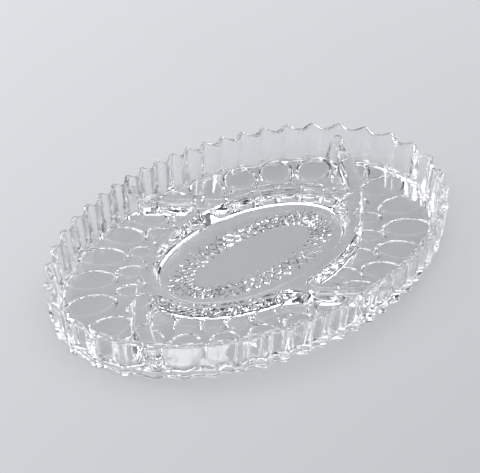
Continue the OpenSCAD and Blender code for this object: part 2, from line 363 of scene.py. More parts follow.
def pressed_plate(name: str, rows: np.ndarray) -> bpy.types.Object:
    """Skins open outlines all round and closes the two loops of their ends with flat faces.

    Args:
        name: The object's name.
        rows: Points as outlines by points by three, all round the middle.

    Returns:
        The linked object.
    """
    count, size = rows.shape[:2]
    faces: list[list[int]] = []
    for i in range(count):
        j = (i + 1) % count
        for k in range(size - 1):
            faces.append([i * size + k, i * size + k + 1, j * size + k + 1, j * size + k])
    faces.append([i * size for i in range(count)])
    faces.append([i * size + size - 1 for i in range(count - 1, -1, -1)])
    return new_solid(name, rows.reshape(-1, 3), faces, Face.GLASS)


def prism(name: str, outline: np.ndarray, low: float, high: float) -> bpy.types.Object:
    """Raises a closed outline in the plane between two levels, with the slot of the seams."""
    rows = np.stack([at_level(outline, level) for level in (low, high)])
    return swept(name, rows, False, Face.SEAM)


def combine(target: bpy.types.Object, tool: bpy.types.Object, how: Fuse, keep: bool = False) -> None:
    """Combines a solid with another, in place.

    Args:
        target: The solid that changes.
        tool: The other solid.
        how: The way to combine them.
        keep: True leaves the tool for another use.
    """
    change = target.modifiers.new("combine", "BOOLEAN")
    change.operation = how.value
    change.solver = "MANIFOLD"
    change.object = tool
    settle(target)
    if not keep:
        discard(tool)


def settle(obj: bpy.types.Object) -> None:
    """Works an object's modifiers into its mesh.

    Args:
        obj: The object.
    """
    bpy.context.view_layer.update()
    mesh = bpy.data.meshes.new_from_object(obj.evaluated_get(bpy.context.evaluated_depsgraph_get()))
    obj.modifiers.clear()
    old, obj.data = obj.data, mesh
    bpy.data.meshes.remove(old)


def discard(obj: bpy.types.Object) -> None:
    """Removes an object and its mesh.

    Args:
        obj: The object.
    """
    mesh = obj.data
    bpy.data.objects.remove(obj)
    bpy.data.meshes.remove(mesh)


def duplicate(obj: bpy.types.Object, name: str) -> bpy.types.Object:
    """Copies an object with a mesh of its own.

    Args:
        obj: The object.
        name: The copy's name.

    Returns:
        The linked copy.
    """
    other = obj.copy()
    other.data = obj.data.copy()
    other.name = name
    bpy.context.scene.collection.objects.link(other)
    return other


# The tray's features


@dataclass(frozen=True)
class Base:
    """The levels that the foot, the floor and the partitions share."""

    under: float = 2.5 * MM
    top: float = 6.0 * MM
    partition_top: float = 16.0 * MM


@dataclass(frozen=True)
class FlutedShell:
    """The wall with its flutes, the foot and the flat floor, pressed as one dish.

    Attributes:
        rim: The rim at the ribs.
        height: The level of the rim at the ribs.
        flutes: How many flutes there are.
        steps: How many sections each flute has.
        flute_depth: How far a panel lies inside the ribs.
        rib_power: How narrow the ribs are.
        thickness: The wall at its top.
        lean: How far the foot of the outer face lies inside its top.
        taper: How much thicker the wall is at its foot.
        dip: How far the rim sinks over a panel.
        rim_round: The radius of both edges of the rim.
        corner_round: The radius between the wall and the floor.
        foot_inner: How far inside the rim the foot ends.
        foot_step: Half the width of the slope from the foot up to the underside.
        foot_round: The radius of the foot's edges.
        plate_edge: How far inside the rim the flat floor begins.
    """

    rim: Oval = Oval(159.85 * MM, 106.85 * MM)
    height: float = 30.0 * MM
    flutes: int = 48
    steps: int = 16
    flute_depth: float = 3.2 * MM
    rib_power: float = 1.4
    thickness: float = 4.8 * MM
    lean: float = 3.0 * MM
    taper: float = 1.6 * MM
    dip: float = 2.2 * MM
    rim_round: float = 1.9 * MM
    corner_round: float = 2.4 * MM
    foot_inner: float = 12.0 * MM
    foot_step: float = 0.6 * MM
    foot_round: float = 0.9 * MM
    plate_edge: float = 17.0 * MM

    def rib(self, angle: np.ndarray) -> np.ndarray:
        """Gives 1 on a rib and 0 in the middle of a panel."""
        return ((1 + np.cos(self.flutes * angle)) / 2) ** self.rib_power

    def outer(self, rib: float, level: float) -> float:
        """Gives how far the outer face lies inside the rim's points."""
        return self.lean * (1 - level / self.height) + self.flute_depth * (1 - rib)

    def inner(self, rib: float, level: float) -> float:
        """Gives how far the inner face lies inside the rim's points."""
        return self.outer(rib, level) + self.thickness + self.taper * (1 - level / self.height)

    def section(self, rib: float, base: Base) -> np.ndarray:
        """Draws the shell's outline across the wall.

        Args:
            rib: 1 on a rib and 0 in the middle of a panel.
            base: The shared levels.

        Returns:
            Rows of inset and level, from the underside round the rim to the floor.
        """
        top = self.height - self.dip * (1 - rib)
        corners = np.array(
            [
                [self.plate_edge, base.under],
                [self.foot_inner + self.foot_step, base.under],
                [self.foot_inner - self.foot_step, 0.0],
                [self.outer(rib, 0.0), 0.0],
                [self.outer(rib, top / 2), top / 2],
                [self.outer(rib, top), top],
                [self.inner(rib, top), top],
                [self.inner(rib, top / 2), top / 2],
                [self.inner(rib, base.top), base.top],
                [self.plate_edge, base.top],
            ]
        )
        radii = [0, self.foot_round, self.foot_round, self.foot_round, 0, self.rim_round]
        radii += [self.rim_round, 0, self.corner_round, 0]
        return rounded_path(corners, radii)

    def angles(self) -> np.ndarray:
        """Gives the angles at which the shell is drawn."""
        return all_round(self.flutes * self.steps)

    def build(self, base: Base) -> bpy.types.Object:
        """Makes the whole dish without its partitions.

        Args:
            base: The shared levels.

        Returns:
            The dish.
        """
        rows = []
        for angle in self.angles():
            rows.append(self.rim.across(angle, self.section(float(self.rib(angle)), base)))
        return pressed_plate("shell", np.array(rows))


@dataclass(frozen=True)
class CentreRing:
    """The raised oval ring round the middle compartment.

    Attributes:
        top: The outer edge of its flat top.
        top_width: The width of the flat top.
        inner_slope: How far its inner face runs out from the top to the floor.
        inner_fillet: The radius between the inner face and the floor.
        inner_ease: The radius of the top's inner edge.
        steps: How many points each of its outlines has.
    """

    top: Oval = Oval(88.5 * MM, 56.0 * MM)
    top_width: float = 8.8 * MM
    inner_slope: float = 4.0 * MM
    inner_fillet: float = 2.6 * MM
    inner_ease: float = 1.1 * MM
    steps: int = 360

    def disc(self, inset: float, low: float, high: float) -> bpy.types.Object:
        """Makes an upright block whose side lies a distance inside the ring's outer top edge."""
        return prism("disc", self.top.line_within(all_round(self.steps), inset), low, high)


@dataclass(frozen=True)
class Partition:
    """A low wall from the centre ring to the outer wall, given by its middle line and its corners.

    The corner radii are those between its two faces and the walls that they meet: first the face
    on the clockwise side, then the one on the other side, each at the ring and at the wall.

    Attributes:
        ring_angle: The direction in which the middle line leaves the ring.
        wall_angle: The direction in which it reaches the wall.
        turn: How far it turns to the left on its way.
        corners: The corner radii.
        turned: True gives the same partition half a turn round the tray.
        ring_inset: How far inside the ring's outer top edge it begins.
        top_width: The width of its flat top.
        past_wall: How far its faces are followed beyond their ends at the wall.
        steps: How many points its middle line has.
        ahead_steps: How many more points it has beyond its end at the wall.
    """

    ring_angle: float
    wall_angle: float
    turn: float
    corners: Corners
    turned: bool = False
    ring_inset: float = 4.0 * MM
    top_width: float = 10.0 * MM
    past_wall: float = 30.0 * MM
    steps: int = 160
    ahead_steps: int = 16

    def line(
        self, shell: FlutedShell, ring: CentreRing, past: float
    ) -> tuple[np.ndarray, np.ndarray, np.ndarray]:
        """Walks the middle line.

        Args:
            shell: The dish.
            ring: The centre ring.
            past: How far the line runs on beyond its end at the wall.

        Returns:
            The points, the directions square to the line on its anticlockwise side, and the
            distances walked.
        """
        start = ring.top.inset(np.array(self.ring_angle), np.array(self.ring_inset))
        end = shell.rim.inset(np.array(self.wall_angle), np.array(shell.lean + shell.thickness))
        chord = end - start
        span = float(np.linalg.norm(chord))
        towards = math.atan2(chord[1], chord[0])
        share = np.linspace(0, 1, self.steps)
        heading = towards - self.turn / 2 + self.turn * share
        if abs(self.turn) < NEARLY_STRAIGHT:
            points = start + share[:, None] * chord
        else:
            radius = span / (2 * math.sin(self.turn / 2))
            swing = [np.sin(heading) - math.sin(heading[0]), math.cos(heading[0]) - np.cos(heading)]
            points = start + radius * np.stack(swing, axis=-1)
        ahead = np.linspace(0, past, self.ahead_steps + 1)[1:]
        direction = np.array([math.cos(heading[-1]), math.sin(heading[-1])])
        points = np.vstack([points, points[-1] + ahead[:, None] * direction])
        heading = np.append(heading, np.full(len(ahead), heading[-1]))
        across = np.stack([-np.sin(heading), np.cos(heading)], axis=-1)
        walked = np.append(span * share, span + ahead)
        return (-points, -across, walked) if self.turned else (points, across, walked)

    def face(self, shell: FlutedShell, ring: CentreRing, side: int) -> np.ndarray:
        """Gives the top edge of one face, from the ring outwards: side 1 is the anticlockwise one."""
        points, across, _ = self.line(shell, ring, self.past_wall)
        return points + side * self.top_width / 2 * across

    def seam(self, shell: FlutedShell, ring: CentreRing) -> np.ndarray:
        """Gives the points of its middle line, along which the floors under it are parted."""
        return self.line(shell, ring, self.top_width)[0]

    def wall_turn(self) -> float:
        """Gives the direction in which it reaches the wall, with its half turn."""
        return self.wall_angle + (math.pi if self.turned else 0)

    def ring_turn(self) -> float:
        """Gives the direction in which it leaves the ring, with its half turn."""
        return self.ring_angle + (math.pi if self.turned else 0)

    def footprint(self, shell: FlutedShell, ring: CentreRing, foot: float, swell: float) -> np.ndarray:
        """Draws the outline of the room that the partition and its corners take in the plan.

        Args:
            shell: The dish.
            ring: The centre ring.
            foot: The room beside its top.
            swell: The further room beside its two ends.

        Returns:
            The closed outline.
        """
        points, across, walked = self.line(shell, ring, self.top_width)
        span = walked[self.steps - 1]
        near = np.clip(1 - np.minimum(walked, span - walked) / (2 * swell), 0, 1)
        reach = (self.top_width / 2 + foot + swell * near)[:, None]
        return np.vstack([points - reach * across, (points + reach * across)[::-1]])


@dataclass(frozen=True)
class Land:
    """The low walls before the compartments are taken out: a slab that climbs to the outer wall.

    Attributes:
        climb: How far it climbs.
        narrowing: How much the climb takes off each side of a partition's top.
        wing: How much further the foot of a partition spreads at the climb.
        near: How far inside the rim the climb ends.
        far: How far inside the rim it begins.
        edge: How far inside the rim the slab begins.
        steps: How many levels the climb is drawn with.
        apron: How far the slab runs on inwards before it closes over the middle.
        root: How far above the underside the slab begins.
    """

    climb: float = 6.5 * MM
    narrowing: float = 2.7 * MM
    wing: float = 3.0 * MM
    near: float = 8.0 * MM
    far: float = 23.0 * MM
    edge: float = 5.9 * MM
    steps: int = 16
    apron: float = 4.0 * MM
    root: float = 2.1 * MM

    def climb_share(self, inset: np.ndarray) -> np.ndarray:
        """Gives how far the top has climbed at a distance inside the rim, from 0 to 1."""
        return np.clip((self.far - inset) / (self.far - self.near), 0, 1) ** 2

    def top(self, base: Base, shell: FlutedShell, point: np.ndarray) -> float:
        """Gives the level of the top at a point of the plan."""
        return base.partition_top + self.climb * float(self.climb_share(shell.rim.depth(point)))

    def build(self, base: Base, shell: FlutedShell) -> bpy.types.Object:
        """Makes the slab.

        Args:
            base: The shared levels.
            shell: The dish.

        Returns:
            The slab.
        """
        insets = np.linspace(self.near, self.far, self.steps)
        insets = np.concatenate([[self.edge], insets, [self.far + self.apron]])
        tops = base.partition_top + self.climb * self.climb_share(insets)
        low = base.under + self.root
        section = np.vstack([[[insets[-1], low], [self.edge, low]], np.c_[insets, tops]])
        rows = [shell.rim.across(angle, section) for angle in shell.angles()[::2]]
        return pressed_plate("land", np.array(rows))


@dataclass(frozen=True)
class Compartment:
    """A compartment as the room that it takes out of the low walls round it.

    Attributes:
        outline: The top edge of its sides, anticlockwise.
        inward: The unit directions into the compartment.
        free: 1 where its side is a low wall, falling to 0 along the outer wall.
        slope: How far a side runs out from its top to the floor.
        fillet: The radius between a side and the floor.
        skirt: How far the room narrows inside the floor.
        ease: The radius of the top edge.
        skirt_drop: How far below the floor's top the room has narrowed.
        root: How far above the underside the room begins.
        clear_run: How far it runs out over the top of the low walls.
        clear_rise: How far above that top it has risen there.
        headroom: How far it reaches above the rim.
        wall_fillet_share: The share of the fillet that is left along the outer wall.
        corner_density: How much closer the points stand in the corners.
        corner_least: The least count of steps in a corner.
        fade: How fast a side becomes free in the corner at the outer wall.
    """

    outline: np.ndarray
    inward: np.ndarray
    free: np.ndarray
    slope: float = 1.4 * MM
    fillet: float = 2.2 * MM
    skirt: float = 3.2 * MM
    ease: float = 1.0 * MM
    skirt_drop: float = 0.5 * MM
    root: float = 1.9 * MM
    clear_run: float = 1.5 * MM
    clear_rise: float = 0.35 * MM
    headroom: float = 10.0 * MM
    wall_fillet_share: float = 0.2
    corner_density: float = 1.6
    corner_least: int = 8
    fade: float = 1.6

    @classmethod
    def oval(cls, ring: CentreRing) -> "Compartment":
        """Makes the middle compartment inside the ring.

        Args:
            ring: The centre ring.

        Returns:
            The compartment.
        """
        angles = all_round(ring.steps)
        return cls(
            ring.top.line_within(angles, ring.top_width),
            -ring.top.normal(angles),
            np.ones(len(angles)),
            slope=ring.inner_slope,
            fillet=ring.inner_fillet,
            ease=ring.inner_ease,
        )

    @classmethod
    def between(cls, rails: Sequence[Rail], radii: Sequence[float], pitch: float = 1.1 * MM) -> "Compartment":
        """Makes a compartment from its sides.

        Args:
            rails: Its sides in anticlockwise order; the second is the outer wall.
            radii: The radius of the corner at the end of each side.
            pitch: The spacing of the outline's points.

        Returns:
            The compartment.
        """
        count = len(rails)
        starts, ends, centres = [0.0] * count, [0.0] * count, []
        for k, radius in enumerate(radii):
            n = (k + 1) % count
            ends[k], starts[n] = meeting(rails[k].moved(radius), rails[n].moved(radius))
            centres.append(rails[k].place(ends[k], radius))
        points, inward, free = [], [], []
        for k, rail in enumerate(rails):
            spacings = np.linalg.norm(np.diff(rail.points, axis=0), axis=1)
            length = float(np.sum(spacings)) / (len(rail.points) - 1)
            steps = max(int((ends[k] - starts[k]) * length / pitch), 2)
            normals = rail.left()
            for at in np.linspace(starts[k], ends[k], steps):
                normal = between_rows(normals, at)
                points.append(rail.place(at))
                inward.append(normal / np.linalg.norm(normal))
                free.append(0.0 if k == 1 else 1.0)
            n = (k + 1) % count
            first, last = rail.place(ends[k]) - centres[k], rails[n].place(starts[n]) - centres[k]
            begin = math.atan2(first[1], first[0])
            sweep = (math.atan2(last[1], last[0]) - begin) % FULL_TURN
            bends = max(int(radii[k] * sweep / pitch * cls.corner_density), cls.corner_least)
            for share in np.arange(1, bends) / bends:
                angle = begin + sweep * share
                spoke = np.array([math.cos(angle), math.sin(angle)])
                points.append(centres[k] + radii[k] * spoke)
                inward.append(-spoke)
                at_wall = {0: 1 - share, 1: share}.get(k, 1.0)
                free.append(min(1.0, cls.fade * at_wall))
        return cls(np.array(points), np.array(inward), np.array(free))

    def build(self, base: Base, land: Land, shell: FlutedShell) -> bpy.types.Object:
        """Makes the solid that is taken away.

        Args:
            base: The shared levels.
            land: The low walls.
            shell: The dish.

        Returns:
            The solid.
        """
        rows = []
        near = land.climb_share(shell.rim.depth(self.outline))
        for point, inward, free, share in zip(self.outline, self.inward, self.free, near):
            foot = (self.slope + land.wing * share) * free
            fillet = self.fillet * (self.wall_fillet_share + (1 - self.wall_fillet_share) * free)
            crest = self.ease + land.narrowing * share
            past = crest + self.clear_run
            over = land.top(base, shell, point - past * inward) + self.clear_rise
            corners = np.array(
                [
                    [foot + self.skirt * free, base.under + self.root],
                    [foot + self.skirt * free, base.top - self.skirt_drop],
                    [foot, base.top],
                    [0.0, base.partition_top - self.ease],
                    [-crest, land.top(base, shell, point - crest * inward)],
                    [-past, over],
                    [-past, shell.height + self.headroom],
                ]
            )
            path = rounded_path(corners, [0, 0, fillet, self.ease, self.ease, 0, 0])
            rows.append(np.c_[point + path[:, :1] * inward, path[:, 1]])
        return pressed_plate("compartment", np.array(rows))


@dataclass(frozen=True)
class SunkOvals:
    """The two staggered rows of ovals sunk in the underside of the outer floors.

    Attributes:
        count: How many ovals each row has.
        depth: How deep they are.
        edge: The width of the bowl-like edge.
        bulge: How steeply that edge starts.
        outer_row: The line that the middles of the outer row stand on.
        inner_row: The same for the inner row.
        outer_half: Half the length and width of an oval of the outer row.
        inner_half: The same for the inner row.
        side_growth: How much longer half an oval of each row is at the tray's long sides.
        lean: The share by which an oval turns from the line to the middle to the row's normal.
        drift: How far the inner row drifts, in ovals.
        drift_turn: The direction in which that drift is greatest.
        sides: How many sides an oval is drawn with.
        levels: How many levels its edge is drawn with.
        flare_share: How far the cut widens below the underside, as a share of the edge.
        drop_share: How far it reaches below the underside, as a share of the depth.
        samples: How many places a row is measured at.
    """

    count: int = 24
    depth: float = 2.1 * MM
    edge: float = 4.0 * MM
    bulge: float = 2.2
    outer_row: Oval = Oval(128.0 * MM, 82.8 * MM)
    inner_row: Oval = Oval(96.5 * MM, 62.5 * MM)
    outer_half: tuple[float, float] = (19.2 * MM, 12.8 * MM)
    inner_half: tuple[float, float] = (11.0 * MM, 9.0 * MM)
    side_growth: tuple[float, float] = (-2.9 * MM, 1.6 * MM)
    lean: float = 0.3
    drift: float = 0.4
    drift_turn: float = math.radians(157.0)
    sides: int = 56
    levels: int = 10
    flare_share: float = 0.1
    drop_share: float = 0.5
    samples: int = 4001

    def directions(self) -> tuple[np.ndarray, np.ndarray]:
        """Spreads the ovals round the tray.

        The outer row stands evenly along its line. The ovals of the inner row stand between those
        of the outer row and drift towards the partitions.

        Returns:
            The angles of the outer row and of the inner row.
        """
        fine = np.linspace(0, FULL_TURN, self.samples)
        a, b = self.outer_row.half_length, self.outer_row.half_width
        speed = np.hypot(a * np.sin(fine), b * np.cos(fine))
        walked = np.concatenate([[0], np.cumsum((speed[1:] + speed[:-1]) / 2)])

        def angle(place: np.ndarray) -> np.ndarray:
            """Gives the angle at a place counted in ovals along the outer row."""
            turn = np.interp(np.mod(place / self.count, 1) * walked[-1], walked, fine)
            return np.arctan2(b * np.sin(turn), a * np.cos(turn))

        between = np.arange(self.count) + 0.5
        drift = self.drift * np.cos(2 * (angle(between) - self.drift_turn))
        return angle(np.arange(self.count)), angle(between + drift)

    def dish(
        self, middle: np.ndarray, heading: float, half: tuple[float, float], base: Base
    ) -> bpy.types.Object:
        """Makes the cutter of one oval hollow with a rounded edge.

        Args:
            middle: Its middle in the plan.
            heading: The direction of its length.
            half: Its half length and half width over the edge.
            base: The shared levels.

        Returns:
            The cutter.
        """
        around = all_round(self.sides)
        turn = np.array([[math.cos(heading), math.sin(heading)], [-math.sin(heading), math.cos(heading)]])
        steps = [(-self.flare_share * self.edge, -self.drop_share * self.depth)]
        for share in np.linspace(0, 1, self.levels):
            steps.append((self.edge * share, self.depth * (1 - (1 - share) ** self.bulge)))
        rows = []
        for inset, rise in steps:
            flat = Oval(half[0] - inset, half[1] - inset).at(around)
            rows.append(at_level(flat @ turn + middle, base.under + rise))
        return swept("oval", np.array(rows), False)

    def build(self, base: Base) -> list[bpy.types.Object]:
        """Makes the cutters of both rows.

        Args:
            base: The shared levels.

        Returns:
            One cutter for each oval.
        """
        lines = (self.outer_row, self.inner_row)
        sizes = (self.outer_half, self.inner_half)
        out = []
        for row, size, growth, angles in zip(lines, sizes, self.side_growth, self.directions()):
            for angle in angles:
                half = (size[0] + growth * math.sin(angle) ** 2, size[1])
                normal = row.normal(np.array(angle))
                swing = within_half_turn(math.atan2(normal[1], normal[0]) - angle)
                out.append(self.dish(row.point(np.array(angle)), angle + self.lean * swing, half, base))
        return out


@dataclass(frozen=True)
class DiamondBand:
    """The band of raised diamonds under the middle floor, in staggered rows with grooves between.

    Attributes:
        outer: The band's outer edge.
        inner: Its inner edge.
        count: How many diamonds stand round the tray in a row.
        rows: How many rows there are.
        rise: How far the bevelled sides stand out from the underside.
        crown: How much further the point stands out.
        root: How far the diamonds reach into the floor.
        foot_share: The size of a diamond's foot as a share of its place in the lattice.
        edge_share: The same for the upper edge of its bevel.
        point_share: The same for its blunt point.
        margin: How much glass beside the band its sub-part has.
    """

    outer: Oval = Oval(72.0 * MM, 34.0 * MM)
    inner: Oval = Oval(50.0 * MM, 16.0 * MM)
    count: int = 48
    rows: int = 3
    rise: float = 0.95 * MM
    crown: float = 0.5 * MM
    root: float = 0.8 * MM
    foot_share: float = 0.95
    edge_share: float = 0.7
    point_share: float = 0.12
    margin: float = 0.6 * MM

    def room(self, low: float, high: float) -> bpy.types.Object:
        """Makes the block that holds the band and a little of the glass round it.

        Args:
            low: The level of its underside.
            high: The level of its top.

        Returns:
            The block.
        """
        turns = all_round(4 * self.count)
        around = Oval(self.outer.half_length + self.margin, self.outer.half_width + self.margin)
        within = Oval(self.inner.half_length - self.margin, self.inner.half_width - self.margin)
        room = prism("band_room", around.at(turns), low, high)
        hole = prism("band_inside", within.at(turns), low - OVERRUN, high + OVERRUN)
        combine(room, hole, Fuse.DIFFERENCE)
        return room

    def place(self, column: int, row: int) -> np.ndarray:
        """Gives a crossing of the lattice, counted in half diamonds round the band and across it."""
        turn, share = np.array(column * math.pi / self.count), row / (self.rows + 1)
        return (1 - share) * self.outer.at(turn) + share * self.inner.at(turn)

    def build(self, base: Base) -> bpy.types.Object:
        """Makes the diamonds, each with bevelled sides and a low point, rooted in the floor.

        Args:
            base: The shared levels.

        Returns:
            All the diamonds as one object.
        """
        levels = (
            (self.foot_share, base.under + self.root),
            (self.foot_share, base.under),
            (self.edge_share, base.under - self.rise),
            (self.point_share, base.under - self.rise - self.crown),
        )
        points, faces = [], []
        for row in range(1, self.rows + 1):
            for column in range(row % 2, 2 * self.count, 2):
                middle = self.place(column, row)
                sides = ((column + 1, row), (column, row + 1), (column - 1, row), (column, row - 1))
                corners = [self.place(*side) for side in sides]
                first = len(points)
                for share, level in levels:
                    points += [[*(middle + share * (corner - middle)), level] for corner in corners]
                for face in skin(len(levels), len(corners), False):
                    faces.append([first + number for number in face])
        return new_solid("band", np.array(points), faces, Face.GLASS)


# The whole pressing


@dataclass(frozen=True)
class Seams:
    """Where the pressing is parted, in the glass between its sub-parts.

    Attributes:
        low: The level at which the cutting blocks begin.
        high: The level at which they end.
        outside: How far outside the rim they begin.
        wall: How far inside the rim the wall and the foot end.
        foot: How far below the underside of the floor the foot ends.
        depth: How far below the floor's top the low walls end.
        spoke: How far from the middle the point lies that directs a seam between two walls.
        reach: How far a wedge reaches, in half lengths of the rim.
        ring_outside: How far the ring's piece reaches outside its top.
        ring_inside: How far it reaches inside the foot of its inner face.
        narrow: The room of a partition's piece inside the floor, beside its top and at its ends.
        wide: The same above the floor.
        lift: How far above the floor's top the wide room begins.
    """

    low: float = -10.0 * MM
    high: float = 40.0 * MM
    outside: float = 6.0 * MM
    wall: float = 13.3 * MM
    foot: float = 0.5 * MM
    depth: float = 1.0 * MM
    spoke: float = 20.0 * MM
    reach: float = 3.0
    ring_outside: float = 5.2 * MM
    ring_inside: float = 4.2 * MM
    narrow: tuple[float, float] = (5.6 * MM, 2.0 * MM)
    wide: tuple[float, float] = (11.0 * MM, 22.0 * MM)
    lift: float = 0.25 * MM


@dataclass(frozen=True)
class RelishTray:
    """The tray: its features, fused into one pressing and parted into named sub-parts.

    Attributes:
        base: The shared levels.
        shell: The dish.
        ring: The centre ring.
        ovals: The sunk ovals.
        band: The band of diamonds.
        land: The low walls before the compartments are taken out.
        seams: Where the pressing is parted.
        side_ring_angle: Where the middle line of a side partition leaves the ring.
        side_wall_angle: Where it reaches the wall.
        side_corners: The corner radii of a side partition.
        end_ring_angle: Where the middle line of an end partition leaves the ring.
        end_wall_angle: Where it reaches the wall.
        end_turn: How far it turns on its way.
        end_corners: The corner radii of an end partition.
        wall_overrun: How far, as an angle, the rail of the wall runs past a compartment.
        ring_overruns: The same for the rail of the ring, at its start and its end.
        rail_overlap: How far the rail of the wall lies outside the edge of the low walls.
        rail_points: How many points those two rails have.
        smooth_angle: The angle between faces from which an edge of the glass is sharp.
        facet_angle: The same for the diamonds.
        even_weight: How much the large faces set the smooth shading.
    """

    base: Base = Base()
    shell: FlutedShell = FlutedShell()
    ring: CentreRing = CentreRing()
    ovals: SunkOvals = SunkOvals()
    band: DiamondBand = DiamondBand()
    land: Land = Land()
    seams: Seams = Seams()
    side_ring_angle: float = math.radians(68.5)
    side_wall_angle: float = math.radians(107.6)
    side_corners: Corners = ((12.0 * MM, 5.0 * MM), (5.2 * MM, 5.0 * MM))
    end_ring_angle: float = math.radians(-24.0)
    end_wall_angle: float = math.radians(22.8)
    end_turn: float = math.radians(40.0)
    end_corners: Corners = ((20.0 * MM, 5.0 * MM), (5.2 * MM, 5.0 * MM))
    wall_overrun: float = 0.35
    ring_overruns: tuple[float, float] = (0.9, 0.3)
    rail_overlap: float = 1.0 * MM
    rail_points: int = 600
    smooth_angle: float = math.radians(35.0)
    facet_angle: float = math.radians(8.0)
    even_weight: int = 80

    def partitions(self) -> dict[str, Partition]:
        """Lays out the four partitions.

        Returns:
            The partitions by name, in their order round the tray from the right.
        """
        side = Partition(self.side_ring_angle, self.side_wall_angle, 0.0, self.side_corners)
        end = Partition(
            self.end_ring_angle,
            self.end_wall_angle,
            self.end_turn,
            self.end_corners,
            ring_inset=self.ring.top_width,
        )
        return {
            "right_back_partition": end,
            "left_back_partition": side,
            "left_front_partition": replace(end, turned=True),
            "right_front_partition": replace(side, turned=True),
        }

    def compartments(self) -> list[Compartment]:
        """Lays out the five compartments.

        Returns:
            The middle one, then the outer ones.
        """
        parts = list(self.partitions().values())
        out = [Compartment.oval(self.ring)]
        for part, follow in zip(parts, parts[1:] + parts[:1]):
            turns = [part.wall_turn(), follow.wall_turn()]
            turns[1] += FULL_TURN if turns[1] < turns[0] else 0
            wall = np.linspace(turns[0] - self.wall_overrun, turns[1] + self.wall_overrun, self.rail_points)
            bends = [part.ring_turn(), follow.ring_turn()]
            bends[1] += FULL_TURN if bends[1] < bends[0] else 0
            first, last = bends[1] + self.ring_overruns[0], bends[0] - self.ring_overruns[1]
            inner = np.linspace(first, last, self.rail_points)
            rails = [
                Rail(part.face(self.shell, self.ring, 1)),
                Rail(self.shell.rim.line_within(wall, self.land.edge - self.rail_overlap)),
                Rail(follow.face(self.shell, self.ring, -1)[::-1]),
                Rail(self.ring.top.line_within(inner, 0.0)),
            ]
            radii = [part.corners[1][1], follow.corners[0][1], follow.corners[0][0], part.corners[1][0]]
            out.append(Compartment.between(rails, radii))
        return out

    def press(self) -> bpy.types.Object:
        """Makes the whole pressing.

        Returns:
            One watertight solid.
        """
        body = self.shell.build(self.base)
        for cutter in self.ovals.build(self.base):
            combine(body, cutter, Fuse.DIFFERENCE)
        combine(body, self.band.build(self.base), Fuse.UNION)
        low_walls = self.land.build(self.base, self.shell)
        for room in self.compartments():
            combine(low_walls, room.build(self.base, self.land, self.shell), Fuse.DIFFERENCE)
        combine(body, low_walls, Fuse.UNION)
        LOG.info("pressing: %d faces", len(body.data.polygons))
        return body

    def wall_band(self, high: float) -> bpy.types.Object:
        """Makes the block round the tray that holds the wall and the foot.

        Args:
            high: The level of its top.

        Returns:
            The block.
        """
        low, near, far = self.seams.low, -self.seams.outside, self.seams.wall
        section = np.array([[near, low], [near, high], [far, high], [far, low]])
        rows = [self.shell.rim.across(angle, section) for angle in self.shell.angles()[::2]]
        return swept("wall_band", np.array(rows), True, Face.SEAM)

    def wedge(self, first: np.ndarray, second: np.ndarray) -> bpy.types.Object:
        """Makes the upright block between two seams that leave the middle.

        Args:
            first: The points of one seam.
            second: The points of the next one anticlockwise.

        Returns:
            The block.
        """
        far = self.seams.reach * self.shell.rim.half_length
        a, b = first[-1] / np.linalg.norm(first[-1]), second[-1] / np.linalg.norm(second[-1])
        middle = (a + b) / np.linalg.norm(a + b)
        outline = np.vstack([[[0.0, 0.0]], first, [far * a, far * middle, far * b], second[::-1]])
        return prism("wedge", outline, self.seams.low, self.seams.high)

    def spokes(self) -> list[np.ndarray]:
        """Draws the seams of the wall, each in the panel nearest to a partition's end.

        Returns:
            The one point of each straight seam from the middle, in their order round the tray.
        """
        step = FULL_TURN / self.shell.flutes
        first = [(math.floor(a / step) + 0.5) * step for a in (self.end_wall_angle, self.side_wall_angle)]
        angles = first + [a + math.pi for a in first]
        return [np.array([[math.cos(a), math.sin(a)]]) * self.seams.spoke for a in angles]

    def part(self, body: bpy.types.Object) -> dict[str, bpy.types.Object]:
        """Parts the pressing along seams inside the glass.

        Args:
            body: The whole pressing, which is used up.

        Returns:
            The sub-parts by name.
        """
        pieces: dict[str, bpy.types.Object] = {}
        names = ("back", "left", "front", "right")

        edge = duplicate(body, "edge")
        combine(edge, self.wall_band(self.seams.high), Fuse.INTERSECT)
        combine(body, self.wall_band(self.seams.high), Fuse.DIFFERENCE)
        foot_top = self.base.under - self.seams.foot
        pieces["foot_ring"] = duplicate(edge, "foot_ring")
        combine(pieces["foot_ring"], self.wall_band(foot_top), Fuse.INTERSECT)
        combine(edge, self.wall_band(foot_top), Fuse.DIFFERENCE)
        pieces.update(self.share_out(edge, self.spokes(), [f"{name}_wall" for name in names]))

        pieces["centre_ring"] = self.take_out(body, "centre_ring", self.ring_room())
        middle = self.ring.disc(self.ring.top_width / 2, self.seams.low, self.seams.high)
        floor = self.take_out(body, "centre_floor", middle)
        band_room = self.band.room(self.seams.low, self.base.under + self.seams.depth / 2)
        pieces["diamond_band"] = self.take_out(floor, "diamond_band", band_room)
        pieces["centre_floor"] = floor

        partitions = self.partitions()
        for name, partition in partitions.items():
            pieces[name] = self.take_out(body, name, self.partition_room(partition))
        lines = [partition.seam(self.shell, self.ring) for partition in partitions.values()]
        pieces.update(self.share_out(body, lines, [f"{name}_floor" for name in names]))
        return pieces

    def take_out(self, body: bpy.types.Object, name: str, room: bpy.types.Object) -> bpy.types.Object:
        """Takes one piece out of a body.

        Args:
            body: The body, which keeps the rest.
            name: The piece's name.
            room: The block that holds the piece, which is used up.

        Returns:
            The piece.
        """
        piece = duplicate(body, name)
        combine(piece, room, Fuse.INTERSECT, keep=True)
        combine(body, room, Fuse.DIFFERENCE)
        return piece

